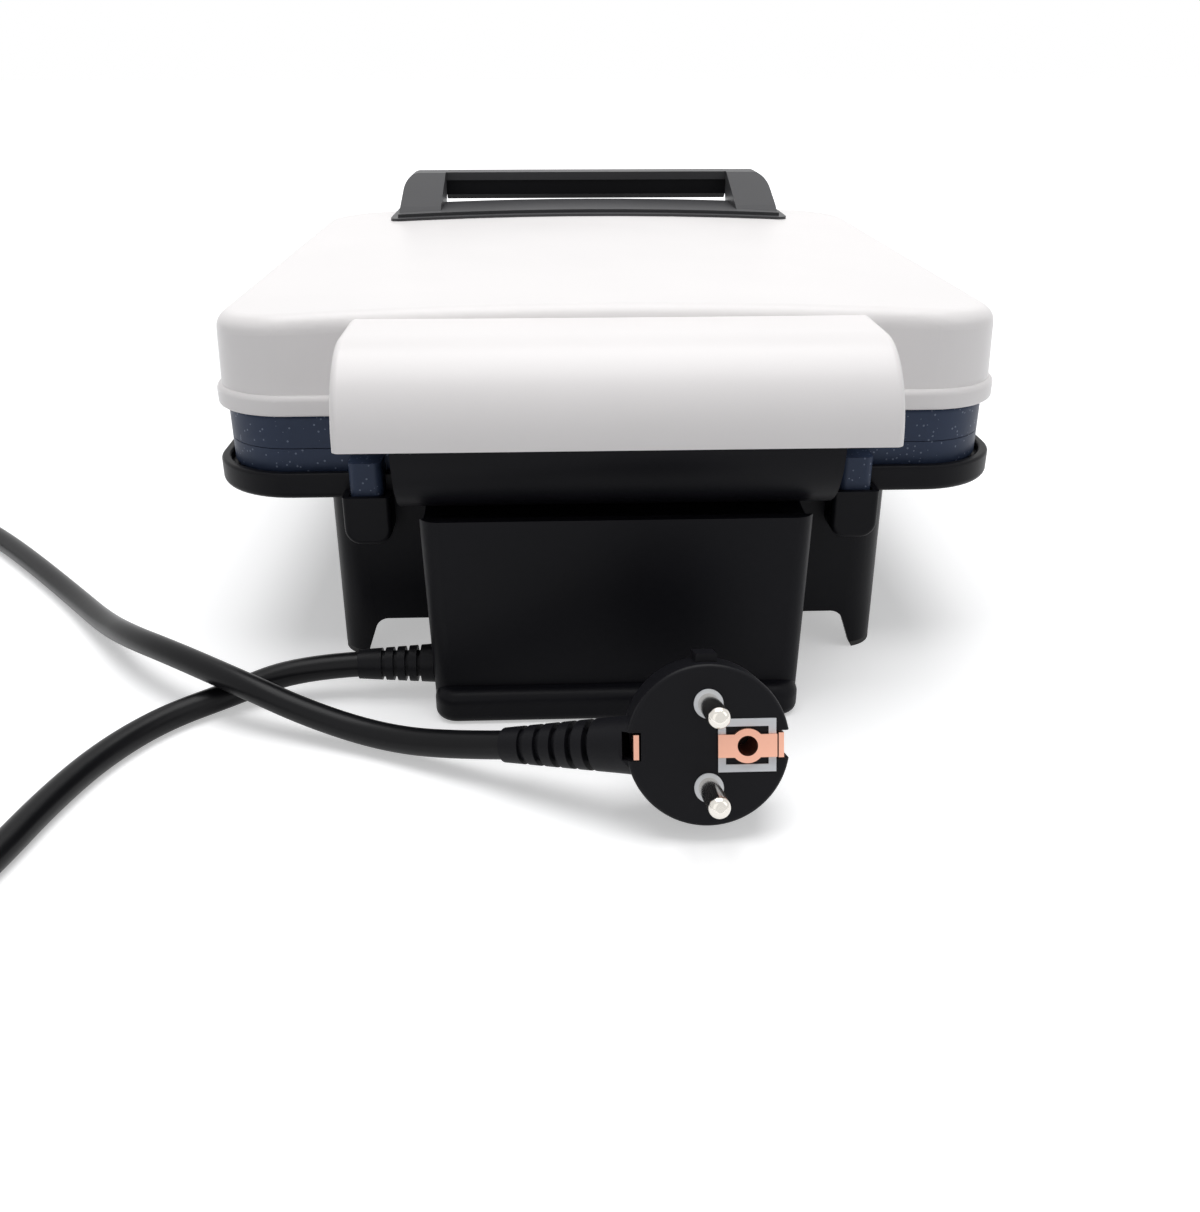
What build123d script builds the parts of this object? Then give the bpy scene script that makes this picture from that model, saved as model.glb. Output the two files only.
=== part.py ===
from build123d import *
import math
import os

# Double waffle maker: a white lid with a cover over its hinge, a black base on four legs with a
# hinge tower behind, two coated waffle plates that lift out, and its mains lead with an angled plug.
# Millimetres. +Z is up, the handle is at -Y, the hinge and the lead are at +Y.
# The origin is on the table under the middle of the appliance, measured without the lead.

os.makedirs("parts", exist_ok=True)

# Overall sizes of the lid and where things reach past it
lid_width = 220.0
lid_depth = 225.0
lid_corner = 22.0
handle_reach = 18.0
tower_reach = 40.0
lid_rear = (lid_depth + handle_reach - tower_reach) / 2
lid_front = lid_rear - lid_depth
lid_middle = (lid_rear + lid_front) / 2

# Heights of the layers, from the table up
flange_bottom = 49.5
flange_thick = 5.3
lip_rise = 2.2
plate_show = 8.0
upper_plate_show = 9.6
rim_height = 5.6
wall_height = 25.0
parting_gap = 0.2
crown_rise = 3.5

# Walls, seats and working clearances
wall = 2.4
seat = 0.2
run_clear = 0.3
plate_inset = 2.5
lip_clear = 1.1
lip_thick = 2.8
bead_step = 1.2
lid_round = 5.0

# Base body and its legs
body_side = 31.0
body_ends = 20.0
body_width = lid_width - 2 * body_side
body_depth = lid_depth - body_ends
body_corner = 10.0
arch_height = 12.0
leg_top = 11.5
leg_foot = 7.0
foot_pad = 1.5
cover_height = 15.0
cover_thick = 2.0
post_radius = 4.0
post_hole = 1.4
post_side = 26.0
post_end = 20.5
head_high = 1.2

# Hinge: the axis runs along X inside the barrel
axis_back = 17.0
axis_drop = 22.6
cover_radius = 23.0
cover_wall = 1.7
barrel_clear = 0.8
slot_clear = 1.3
barrel_width = 111.0
cover_past = 13.5
cover_width = barrel_width + 2 * cover_past
pin_radius = 3.0
pin_clear = 0.05
pin_length = 14.0
arm_thick = 3.0
arm_gap = 1.2
arm_radius = 6.0
arm_foot = 9.0
arm_foot_height = 13.0
lid_open = 100.0

# Hinge tower behind the body
barrel_past = 5.0
tower_draft = 2.0
tower_top_width = barrel_width - 2 * barrel_past
tower_low_width = tower_top_width - 2 * tower_draft
tower_top_reach = 33.0
tower_low_reach = 36.0
tower_top_gap = 20.5
tower_wall = 3.0
neck_gap = 1.5
plinth_height = 9.0
plinth_round = 3.5

# Waffle plates
plate_skin = 2.0
waffle_columns = 4
waffle_rows = 8
waffle_margin = 11.0
waffle_divider = 13.0
stud_share = 0.62
stud_taper = 14.0
lug_width = 9.0
lug_centre = barrel_width / 2 + 11.4
lug_reach = 6.0
pocket_width = 13.0
pocket_wall = 2.0

# Handle frame and grip
handle_width = 153.0
handle_window = 120.0
handle_height = 16.0
handle_foot = 38.0
bar_depth = 14.0
bar_skin = 3.2
bar_thick = 9.0
foot_skin = 2.2

# Latch, plate release buttons and lamps
latch_width = 26.0
latch_thick = 3.0
latch_axis_height = 88.0
latch_axis_gap = 6.5
latch_pin_radius = 1.6
button_width = 20.0
button_height = 7.0
button_proud = 5.0
button_place = 66.0
button_up = 13.0
lower_button_side = 14.0
lower_button_down = 7.5
lamp_radius = 3.0
lamp_spacing = 14.0

# Heating elements and pans
element_radius = 3.3
pan_thick = 0.8
pan_depth = 15.0
pan_drop = 0.4
frame_thick = 1.2
element_side = 23.0
element_ends = 55.0
element_width = body_width - 2 * element_side
element_depth = body_depth - element_ends

# Lead and plug
cord_diameter = 7.0
bush_radius = 4.7
bush_height = 9.5
bush_back = 22.5
plug_radius = 18.4
plug_depth = 17.0
plug_round = 5.0
plug_tip = 20.0
plug_place = (-17.5, 189.5)
contact_spacing = 19.0
contact_radius = 2.4
contact_length = 19.0
relief_length = 31.0

# The lead lies on the table from the bush, goes out past the left and comes back to the plug
cord_route = [
    (70.0, 124.0, 9.5),
    (87.0, 124.0, 8.6),
    (104.0, 129.0, 3.9),
    (119.0, 141.0, 3.5),
    (129.0, 158.0, 3.5),
    (135.0, 178.0, 3.5),
    (139.0, 201.0, 3.5),
    (145.0, 224.0, 3.5),
    (157.0, 245.0, 3.5),
    (176.0, 261.0, 3.5),
    (200.0, 269.0, 3.5),
    (226.0, 267.0, 3.5),
    (250.0, 257.0, 3.5),
    (270.0, 240.0, 3.5),
    (284.0, 217.0, 3.5),
    (292.0, 190.0, 3.5),
    (296.0, 161.0, 3.5),
    (298.5, 131.0, 3.5),
    (299.0, 100.0, 3.5),
    (298.0, 70.0, 3.5),
    (298.5, 42.0, 3.5),
    (296.0, 15.0, 3.5),
    (282.0, -7.0, 3.5),
    (258.0, -16.0, 3.5),
    (233.0, -8.0, 3.5),
    (211.0, 14.0, 3.5),
    (190.0, 38.0, 3.5),
    (168.5, 64.0, 3.6),
    (151.0, 88.0, 6.0),
    (136.5, 107.0, 10.5),
    (121.0, 122.0, 13.0),
    (99.0, 138.0, 12.0),
    (80.0, 146.5, 7.0),
    (61.0, 154.5, 4.6),
    (44.0, 163.0, 7.0),
    (28.5, 170.0, 11.0),
]

# Heights and places worked out from the sizes above
flange_top = flange_bottom + flange_thick
parting = flange_top + plate_show
rim_bottom = parting + parting_gap + upper_plate_show
lid_edge = rim_bottom + wall_height
lid_top = lid_edge + crown_rise
plate_width = lid_width - 2 * plate_inset
plate_depth = lid_depth - 2 * plate_inset - 1.0
plate_corner = lid_corner - plate_inset
flange_width = plate_width + 2 * (lip_clear + lip_thick)
flange_depth = plate_depth + 2 * (lip_clear + lip_thick)
body_rear = lid_rear - 1.0
body_front = body_rear - body_depth
axis_y = lid_rear + axis_back
axis_z = lid_edge - axis_drop
cover_inner = cover_radius - cover_wall
barrel_radius = cover_inner - barrel_clear
slot_radius = cover_radius + slot_clear
tower_top = axis_z - tower_top_gap
handle_top = lid_edge + handle_height
bar_front = lid_front - handle_reach


def block(width, depth, low, high, corner, y=lid_middle, x=0.0):
    """Upright block with rounded plan corners."""
    plan = Plane.XY.offset(low) * Pos(x, y) * RectangleRounded(width, depth, corner)
    return extrude(plan, high - low)


def box(x0, x1, y0, y1, z0, z1):
    """Plain box between two corners."""
    return Pos((x0 + x1) / 2, (y0 + y1) / 2, (z0 + z1) / 2) * Box(x1 - x0, y1 - y0, z1 - z0)


def along_x(radius, length, y, z, x=0.0):
    """Round bar along X, centred at x."""
    return Pos(x, y, z) * Rot(0, 90, 0) * Cylinder(radius, length)


def along_y(radius, y0, y1, x, z):
    """Round bar along Y."""
    return Pos(x, (y0 + y1) / 2, z) * Rot(90, 0, 0) * Cylinder(radius, y1 - y0)


def upright(radius, z0, z1, x, y):
    """Round bar along Z."""
    return Pos(x, y, (z0 + z1) / 2) * Cylinder(radius, z1 - z0)


def side_profile(points, width, x=0.0):
    """Prism along X from an outline of (y, z) points."""
    outline = Polyline([(x - width / 2, y, z) for y, z in points], close=True)
    return extrude(make_face(outline), width, dir=(1, 0, 0))


def tube_along(points, radius):
    """Round tube along straight runs joined by arcs as large as the runs allow."""
    line = [Vector(*p) for p in points]
    radii = []
    for before, here, after in zip(line, line[1:], line[2:]):
        turn = math.radians((here - before).get_angle(after - here))
        short = min((here - before).length, (after - here).length)
        radii.append(0.45 * short / math.tan(turn / 2))
    path = FilletPolyline(*points, radius=radii)
    start = Plane(origin=points[0], z_dir=(line[1] - line[0]).normalized())
    return sweep(start * Circle(radius), path=path), path.length, radii


def save(node, shape):
    """Writes one piece."""
    export_step(shape, f"parts/{node}.step")


def crown_radius():
    """Radius of the lid's crowned top, which curves from side to side."""
    half = lid_width / 2
    return (half ** 2 + crown_rise ** 2) / (2 * crown_rise)


def crown_height(x):
    """Height of the lid's top at a distance from its middle."""
    return lid_top - crown_radius() + math.sqrt(crown_radius() ** 2 - x ** 2)


def crowned(form, rise_over_edge):
    """Cuts a form to the lid's crowned top, raised by the given height."""
    radius = crown_radius()
    centre = lid_top + rise_over_edge - radius
    return form & (Pos(0, lid_middle, centre) * Rot(90, 0, 0) * Cylinder(radius, 2 * lid_depth))


def lid_form(inset, drop, rounding):
    """Outer or inner form of the lid: tapered wall over the rim, crowned top, rounded edges."""
    width = lid_width - 2 * (bead_step + inset)
    depth = lid_depth - 2 * (bead_step + inset)
    plan = Plane.XY.offset(rim_bottom) * Pos(0, lid_middle)
    plan = plan * RectangleRounded(width, depth, lid_corner - bead_step - inset)
    form = crowned(extrude(plan, wall_height + 2 * crown_rise, taper=2), -drop)
    upper = form.edges().filter_by(lambda e: e.bounding_box().min.Z > lid_edge - drop - 6.0)
    return fillet(upper, rounding)


def lid_solid():
    """The lid's full outer body, with its rim bead, before it is hollowed."""
    bead = block(lid_width, lid_depth, rim_bottom, rim_bottom + rim_height, lid_corner)
    bead = fillet(bead.edges().group_by(Axis.Z)[-1], 1.6)
    bead = fillet(bead.edges().group_by(Axis.Z)[0], 0.8)
    return lid_form(0, 0, lid_round) + bead


def lid_shell(body):
    """White lid moulding: hollow below, with holes for the button, lamps and screws."""
    cavity = lid_form(wall, wall, lid_round - wall)
    cavity += block(plate_width + 1.0, plate_depth + 1.0, rim_bottom - 1, rim_bottom + 1.6, plate_corner)
    shell = body - cavity
    low, high = button_range(rim_bottom + button_up)
    half = button_width / 2 + run_clear
    shell -= box(button_place - half, button_place + half, lid_front - 1, lid_front + 8, low - run_clear,
                 high + run_clear)
    for x in lamp_places():
        shell -= along_y(lamp_radius, lid_front - 1, lid_front + 8, x, lamp_height())
    for x, y in screw_posts():
        top = crown_height(abs(x) + post_radius) - wall / 2
        shell += upright(post_radius, rim_bottom + frame_thick, top, x, y)
        shell -= upright(post_hole, rim_bottom, lid_edge - 4, x, y)
    return shell


def screw_posts():
    """Places of the four posts that take the lid frame's screws."""
    across, along = lid_width / 2 - post_side, lid_depth / 2 - post_end
    return [(sx * across, lid_middle + sy * along) for sx in (-1, 1) for sy in (-1, 1)]


def button_range(middle):
    """Bottom and top of a plate release button."""
    return middle - button_height / 2, middle + button_height / 2


def lamp_places():
    """The two lamps beside the latch, on the other side from the button."""
    return [-button_place - lamp_spacing / 2, -button_place + lamp_spacing / 2]


def lamp_height():
    """Height of the lamps on the lid's front."""
    return rim_bottom + button_up


def cover_form(radius, front, half, low):
    """Solid under the hinge cover's curve: flat on top, a quarter round behind."""
    quarter = along_x(radius, 2 * half, axis_y, axis_z)
    quarter &= box(-half, half, axis_y, axis_y + radius, axis_z, axis_z + radius)
    form = quarter + box(-half, half, front, axis_y, axis_z, axis_z + radius)
    if low < axis_z:
        form += box(-half, half, front, axis_y + radius, low, axis_z)
    return form


def hinge_cover(body):
    """White moulding on the lid's rear wall that hides the hinge."""
    half = cover_width / 2
    front = lid_rear - 6.0
    outer = cover_form(cover_radius, front, half, axis_z)
    rims = [e for e in outer.edges() if abs(abs(e.center().X) - half) < 0.1]
    rims = [e for e in rims if e.center().Z > axis_z + 5 and e.center().Y > front + 5]
    outer = fillet(rims, 2.0)
    inner = cover_form(cover_inner, front - 1, half - cover_wall - 0.8, axis_z - 1)
    return (outer - inner) - body


def hinge_arm(side):
    """Black bracket from the lid's rear wall to the hinge pin, on one side."""
    x = side * (barrel_width / 2 + arm_gap + arm_thick / 2)
    foot_low = rim_bottom + rim_height + 1.0
    foot_x = x + side * (arm_foot - arm_thick) / 2
    foot = box(foot_x - arm_foot / 2, foot_x + arm_foot / 2, lid_rear - 4, lid_rear + 1.6,
               foot_low, foot_low + arm_foot_height)
    foot -= along_y(1.3, lid_rear - 5, lid_rear + 3, x + side * 5.0, foot_low + arm_foot_height / 2)
    web = side_profile([(lid_rear - 4, foot_low), (lid_rear - 4, foot_low + arm_foot_height),
                        (axis_y, axis_z + arm_radius), (axis_y, axis_z - arm_radius)], arm_thick, x)
    web += along_x(arm_radius, arm_thick, axis_y, axis_z, x)
    return foot + web - along_x(pin_radius + pin_clear, 2 * arm_foot, axis_y, axis_z, x)


def barrel():
    """Round barrel on the tower: full behind and below, smaller where the lid's wall passes."""
    inner = axis_back - 0.9
    round_bar = along_x(barrel_radius, barrel_width, axis_y, axis_z)
    ring = along_x(barrel_radius + 3, barrel_width + 2, axis_y, axis_z)
    ring -= along_x(inner, barrel_width + 4, axis_y, axis_z)
    corner = box(-barrel_width, barrel_width, axis_y - 40, axis_y, axis_z, axis_z + 40)
    lean = math.radians(180 - lid_open)
    slab = Pos(0, axis_y, axis_z) * Rot(math.degrees(lean) - 90, 0, 0) * Pos(0, 0, inner + 20) * Box(200, 80, 40)
    front = box(-barrel_width, barrel_width, axis_y - 40, lid_rear + 0.9, rim_bottom - 1.4, axis_z + 40)
    plate_room = box(-barrel_width, barrel_width, axis_y - 40, lid_rear - neck_gap, axis_z - 40, axis_z)
    return round_bar - (ring & corner) - slab - front - plate_room


def tower_block(grow, top):
    """Tapered block of the tower, grown or shrunk by the given amount."""
    low = Plane.XY * Pos(0, lid_rear + tower_low_reach / 2 - 5)
    low = low * RectangleRounded(tower_low_width + 2 * grow, tower_low_reach + 10 + 2 * grow, 5.0 + grow / 2)
    high = Plane.XY.offset(top) * Pos(0, lid_rear + tower_top_reach / 2 - 5)
    high = high * RectangleRounded(tower_top_width + 2 * grow, tower_top_reach + 10 + 2 * grow, 5.0 + grow / 2)
    return loft([low, high])


def tower():
    """Hinge tower: plinth, tapered block, neck and barrel, with the slot that the cover turns into."""
    plinth = block(tower_low_width, tower_reach + 10, 0, plinth_height, 6.0, lid_rear + tower_reach / 2 - 5)
    plinth = fillet(plinth.edges().group_by(Axis.Z)[-1], plinth_round)
    plinth = fillet(plinth.edges().group_by(Axis.Z)[0], 2.5)
    neck = box(-tower_top_width / 2 + 1, tower_top_width / 2 - 1, lid_rear - neck_gap, axis_y - 5,
               flange_bottom - 4, rim_bottom - 1.4)
    neck += box(-tower_top_width / 2 + 1, tower_top_width / 2 - 1, lid_rear + 0.9, axis_y - 5,
                flange_bottom - 4, axis_z)
    body = tower_block(0, tower_top) + plinth + neck
    sweep_ring = along_x(slot_radius, cover_width + 4, axis_y, axis_z)
    sweep_ring -= along_x(barrel_radius, cover_width + 6, axis_y, axis_z)
    swept = box(-cover_width, cover_width, axis_y - 6, axis_y + 60, axis_z - 60, axis_z + 60)
    body -= sweep_ring & swept
    body += barrel()
    return body


def arch_cut(span, across_x):
    """Cut between two legs: a low arch with sloping sides."""
    half_top = span / 2 - leg_top
    half_low = span / 2 - leg_foot
    points = [(-half_low, -1), (half_low, -1), (half_top, arch_height), (-half_top, arch_height)]
    if across_x:
        outline = Polyline([(x, -400, z) for x, z in points], close=True)
        return fillet(extrude(make_face(outline), 800, dir=(0, 1, 0)).edges().filter_by(Axis.Y).group_by(
            Axis.Z)[-1], 4.0)
    middle = (body_rear + body_front) / 2
    outline = Polyline([(-400, middle + y, z) for y, z in points], close=True)
    return fillet(extrude(make_face(outline), 800, dir=(1, 0, 0)).edges().filter_by(Axis.X).group_by(
        Axis.Z)[-1], 4.0)


def pocket(side):
    """Rounded socket on the body's rear wall that takes a lug of the lower plate."""
    x = side * lug_centre
    low = flange_bottom - 11.0
    outer = box(x - pocket_width / 2, x + pocket_width / 2, body_rear - 3, lid_rear + lug_reach + pocket_wall,
                low, flange_top - 2.6)
    outer = fillet(outer.edges().group_by(Axis.Z)[0].filter_by(Axis.Y), 4.5)
    outer = fillet(outer.faces().sort_by(Axis.Y)[-1].edges().filter_by(Axis.Z), 1.5)
    return outer


def pocket_hole(side):
    """Room inside a socket for the lug."""
    x = side * lug_centre
    half = lug_width / 2 + run_clear
    return box(x - half, x + half, lid_rear - 4.9, lid_rear + lug_reach + run_clear,
               flange_bottom - 7.0, flange_top + 6)


def base_shell():
    """The whole black base before it is parted: plate tray, body on four legs and hinge tower."""
    flange = block(flange_width, flange_depth, flange_bottom, flange_top, lid_corner + 1.4, plate_middle())
    flange = fillet(flange.edges().group_by(Axis.Z)[0], 2.0)
    lip = block(flange_width, flange_depth, flange_top, flange_top + lip_rise, lid_corner + 1.4, plate_middle())
    lip -= block(plate_width + 2 * lip_clear, plate_depth + 2 * lip_clear, flange_top - 1, flange_top + 9,
                 plate_corner + lip_clear, plate_middle())
    lip = fillet(lip.edges().group_by(Axis.Z)[-1], 0.9)
    middle = (body_rear + body_front) / 2
    body = block(body_width, body_depth, foot_pad, flange_bottom + 1, body_corner, middle)
    cross = arch_cut(body_width, True)
    along = arch_cut(body_depth, False)
    shell = flange + lip + (body - cross - along) + pocket(1) + pocket(-1) + tower()
    cavity = block(body_width - 2 * wall, body_depth - 2 * wall, -1, flange_bottom, body_corner - wall, middle)
    shell -= cavity - leg_corners(cover_height)
    shell -= pan_seat(flange_top - pan_drop, 1)
    hollow = tower_block(-tower_wall, tower_top) & box(-60, 60, lid_rear - 8, lid_rear + 60, -1, tower_top - 7)
    shell -= hollow
    shell -= pocket_hole(1) + pocket_hole(-1)
    low, high = button_range(flange_bottom - lower_button_down)
    x, half = button_place - lower_button_side, button_width / 2 + run_clear
    shell -= box(x - half, x + half, body_front - 1, body_front + 8, low - run_clear, high + run_clear)
    shell -= along_x(bush_radius - 1.0, 20, lid_rear + bush_back, bush_height, tower_low_width / 2)
    for side in (-1, 1):
        shell -= along_x(pin_radius, pin_length, axis_y, axis_z, side * pin_place())
    for x, y in cover_posts():
        shell += upright(post_radius, cover_height + cover_thick, flange_bottom - 13, x, y) - upright(
            post_hole, cover_height, flange_bottom - 17, x, y)
        web_x = math.copysign(body_width / 2 - wall / 2, x)
        shell += box(min(x, web_x), max(x, web_x), y - 1, y + 1, cover_height + cover_thick + 1,
                     flange_bottom - 13) - upright(post_radius - 0.1, 0, 60, x, y)
    return shell


def tower_zone():
    """Space behind the tray and the body that belongs to the hinge tower."""
    half = barrel_width / 2 + arm_gap
    low_half = tower_top_width / 2 + arm_gap
    flange_rear = plate_middle() + flange_depth / 2
    lip_top = flange_top + lip_rise
    barrel_low = axis_z - barrel_radius
    zone = box(-low_half, low_half, body_rear, 2 * axis_y, -1, flange_bottom)
    zone += box(-low_half, low_half, body_rear - wall, 2 * axis_y, -1, arch_height)
    zone += box(-low_half, low_half, flange_rear, 2 * axis_y, flange_bottom, barrel_low)
    zone += box(-half, half, flange_rear, 2 * axis_y, barrel_low, lip_top)
    return zone + box(-half, half, lid_rear - 2 * axis_back, 2 * axis_y, lip_top, 2 * lid_top)


def base_pieces():
    """The base as its hinge tower, its four legs, its body and the tray above them."""
    whole = base_shell()
    zone = tower_zone()
    below = box(-lid_width, lid_width, -lid_depth, lid_depth, -1, flange_bottom)
    behind = box(-lid_width, lid_width, body_rear, 2 * lid_depth, -1, flange_bottom)
    rest = whole - zone
    low = (rest & below) - behind
    ground = box(-lid_width, lid_width, -lid_depth, lid_depth, -1, arch_height)
    return whole & zone, low & ground, low - ground, rest - low


def pin_place():
    """Middle of a hinge pin: it stands out of the barrel through the arm."""
    return barrel_width / 2 + arm_gap + arm_thick + 0.6 - pin_length / 2


def cover_posts():
    """Places of the posts that take the bottom cover's screws."""
    middle = (body_rear + body_front) / 2
    return [(sx * (body_width / 2 - 13), middle + sy * 70.0) for sx in (-1, 1) for sy in (-1, 1)]


def plate_middle():
    """Y of the plates' middle: the plates stand in from the lid's rear face."""
    return lid_rear - plate_inset - 0.5 - plate_depth / 2


def waffle_field():
    """Width and depth of one waffle."""
    width = (plate_width - 2 * waffle_margin - waffle_divider) / 2
    return width, plate_depth - 2 * waffle_margin


def waffle_plate(face, up):
    """Cast plate with two waffle fields of tapered studs; up is the way the food side faces."""
    full = plate_show if up > 0 else upper_plate_show
    back = face - up * full
    low, high = min(face, back), max(face, back)
    plate = block(plate_width, plate_depth, low, high, plate_corner, plate_middle())
    plate = fillet(plate.edges().group_by(Axis.Z)[0 if up > 0 else -1], 1.8)
    width, depth = waffle_field()
    depth_cut = plate_show - plate_skin
    pitch_x, pitch_y = width / waffle_columns, depth / waffle_rows
    stud = Plane.XY * RectangleRounded(pitch_x * stud_share, pitch_y * stud_share, 1.2)
    stud = extrude(stud, depth_cut - 0.6, taper=stud_taper)
    if up < 0:
        stud = Rot(180, 0, 0) * stud
    floor = face - up * depth_cut
    for side in (-1, 1):
        centre = side * (width + waffle_divider) / 2
        field = Plane.XY.offset(floor) * Pos(centre, plate_middle()) * RectangleRounded(width - 6, depth - 6, 5.0)
        plate -= extrude(field, up * (depth_cut + 1), taper=-20 if up > 0 else 20)
        studs = []
        for column in range(waffle_columns):
            for row in range(waffle_rows):
                x = centre + (column - (waffle_columns - 1) / 2) * pitch_x * 0.97
                y = plate_middle() + (row - (waffle_rows - 1) / 2) * pitch_y * 0.97
                studs.append(Pos(x, y, floor) * stud)
        plate = plate.fuse(*studs)
    return plate


def lower_plate():
    """Lower plate, with the two lugs that hook into the sockets behind."""
    plate = waffle_plate(parting, 1)
    for side in (-1, 1):
        x = side * lug_centre
        lug = box(x - lug_width / 2, x + lug_width / 2, lid_rear - 4.5, lid_rear + lug_reach,
                  flange_bottom - 1.0, parting - 1.5)
        lug = fillet(lug.edges().filter_by(Axis.Z).group_by(Axis.Y)[-1], 2.2)
        lug = fillet(lug.edges().group_by(Axis.Z)[0], 1.0)
        plate += lug
    return plate


def element(z):
    """Tubular heating element: a long loop with its ends turned up at the rear."""
    half = element_width / 2
    near = lid_rear - 24.0
    far = near - element_depth
    points = [(-12.0, near + 9, z), (-12.0, near - 12, z), (-half, near - 12, z), (-half, far, z),
              (-half / 3, far, z), (-half / 3, near - 42, z), (half / 3, near - 42, z), (half / 3, far, z),
              (half, far, z), (half, near - 12, z), (12.0, near - 12, z), (12.0, near + 9, z)]
    path = FilletPolyline(*points, radius=9.0)
    start = Plane(origin=points[0], z_dir=(0, -1, 0))
    return sweep(start * Circle(element_radius), path=path)


def pan(z_open, up):
    """Thin steel pan that carries an element and throws its heat at the plate."""
    width, depth, middle = pan_size()
    low, high = (z_open - pan_depth, z_open) if up > 0 else (z_open, z_open + pan_depth)
    outer = block(width, depth, low, high, 10.0, middle)
    inner_low, inner_high = (low + pan_thick, high + 1) if up > 0 else (low - 1, high - pan_thick)
    inner = block(width - 2 * pan_thick, depth - 2 * pan_thick, inner_low, inner_high, 10.0 - pan_thick, middle)
    ledge = block(width + 4, depth + 4, high - pan_thick, high, 12.0, middle) if up > 0 else block(
        width + 4, depth + 4, low, low + pan_thick, 12.0, middle)
    shape = outer + ledge - inner
    for x in (-12.0, 12.0):
        shape -= along_y(element_radius + 0.4, lid_rear - 30, lid_rear, x, element_height(z_open, up))
    return shape


def pan_size():
    """Width, depth and middle of a pan, without its ledge."""
    return body_width - 2 * wall - 6.0, element_depth + 34.0, lid_rear - 24.0 - element_depth / 2


def pan_seat(z_open, up):
    """Opening that a pan drops into, with a step for its ledge."""
    width, depth, middle = pan_size()
    width, depth = width + 2 * seat, depth + 2 * seat
    step = z_open - up * pan_thick
    hole = block(width, depth, *sorted((step - up * pan_depth, step + up)), 10.0 + seat, middle)
    return hole + block(width + 4, depth + 4, *sorted((step, step + 2 * up)), 12.0 + seat, middle)


def lid_frame():
    """Steel ring under the lid that carries the upper pan and backs the upper plate."""
    width, depth, middle = pan_size()
    ring = block(plate_width, plate_depth, rim_bottom, rim_bottom + frame_thick, plate_corner, plate_middle())
    ring -= block(width - 2 * pan_thick, depth - 2 * pan_thick, rim_bottom - 1, rim_bottom + 3,
                  10.0 - pan_thick, middle)
    for x, y in screw_posts():
        ring -= upright(post_hole, rim_bottom - 1, rim_bottom + 3, x, y)
    return ring


def element_height(z_open, up):
    """Height of an element's middle in its pan."""
    return z_open - up * (element_radius + 0.5)


def handle_outline():
    """Side outline of the handle's arms, from the foot on the lid to the bar in front."""
    foot_back = lid_front + handle_foot
    return [(foot_back, lid_edge - 3), (foot_back, lid_edge + 2.0), (foot_back - 9, lid_edge + 6.0),
            (lid_front - 2, handle_top), (bar_front + 3.0, handle_top), (bar_front, handle_top - 3.0),
            (bar_front, handle_top - bar_thick), (bar_front + bar_depth, handle_top - bar_thick),
            (lid_front + 4, lid_edge - 3)]


def handle_frame(body):
    """Dark handle frame: foot on the lid's top, two arms and the top skin of the bar."""
    arm_width = (handle_width - handle_window) / 2
    frame = None
    for side in (-1, 1):
        arm = side_profile(handle_outline(), arm_width, side * (handle_width - arm_width) / 2)
        frame = arm if frame is None else frame + arm
    foot_back = lid_front + handle_foot
    foot = box(-handle_width / 2, handle_width / 2, lid_front + 1.5, foot_back, lid_edge - 6, lid_top + 9)
    foot = crowned(foot, foot_skin)
    skirt = block(handle_width + 6, handle_foot + 2, lid_edge - 6, lid_top + 9, 5.0,
                  lid_front + handle_foot / 2 + 3.0)
    skirt = crowned(skirt & box(-200, 200, lid_front + 4.0, lid_rear, 0, 200), foot_skin - 1.2)
    bar = side_profile([(bar_front, handle_top - bar_skin), (bar_front, handle_top - 2.4),
                        (bar_front + 2.4, handle_top), (bar_front + bar_depth, handle_top),
                        (bar_front + bar_depth, handle_top - bar_skin)], handle_window)
    frame = frame + foot + skirt + bar
    corners = frame.edges().filter_by(Axis.Y).group_by(Axis.Z)[-1]
    frame = fillet([e for e in corners if abs(e.center().X) > handle_width / 2 - 1], 5.0)
    return frame - body


def handle_grip():
    """Black grip under the bar's skin, between the arms."""
    grip = side_profile([(bar_front + 0.5, handle_top - bar_skin), (bar_front + 0.5, handle_top - bar_thick),
                         (bar_front + 3.0, handle_top - bar_thick - 2.0),
                         (bar_front + bar_depth - 3.0, handle_top - bar_thick - 2.0),
                         (bar_front + bar_depth - 0.5, handle_top - bar_thick),
                         (bar_front + bar_depth - 0.5, handle_top - bar_skin)], handle_window)
    return grip


def latch_axis():
    """Y and Z of the latch's pin."""
    return lid_front - latch_axis_gap, latch_axis_height


def latch():
    """Latch on the lid's front that hooks under the base's front edge."""
    y, z = latch_axis()
    hook_top = flange_bottom - run_clear
    flange_front = plate_middle() - flange_depth / 2
    points = [(y - latch_thick / 2 - 1, z), (y - latch_thick / 2 - 1, hook_top - 4.5),
              (flange_front + 4.0, hook_top - 3.0), (flange_front + 4.0, hook_top),
              (flange_front - run_clear - 0.6, hook_top), (flange_front - run_clear - 0.6, flange_top + 4),
              (y + latch_thick / 2, rim_bottom - 1), (y + latch_thick / 2, z)]
    lever = side_profile(points, latch_width) + along_x(3.6, latch_width, y, z)
    tab = side_profile([(y - latch_thick / 2 - 1, hook_top + 8), (y - latch_thick - 3.5, hook_top - 5.5),
                        (y - latch_thick - 2.0, hook_top - 7.0), (y - latch_thick / 2 + 1, hook_top - 4.5)],
                       latch_width - 6)
    return lever + tab - along_x(latch_pin_radius + pin_clear, 2 * latch_width, y, z)


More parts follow.
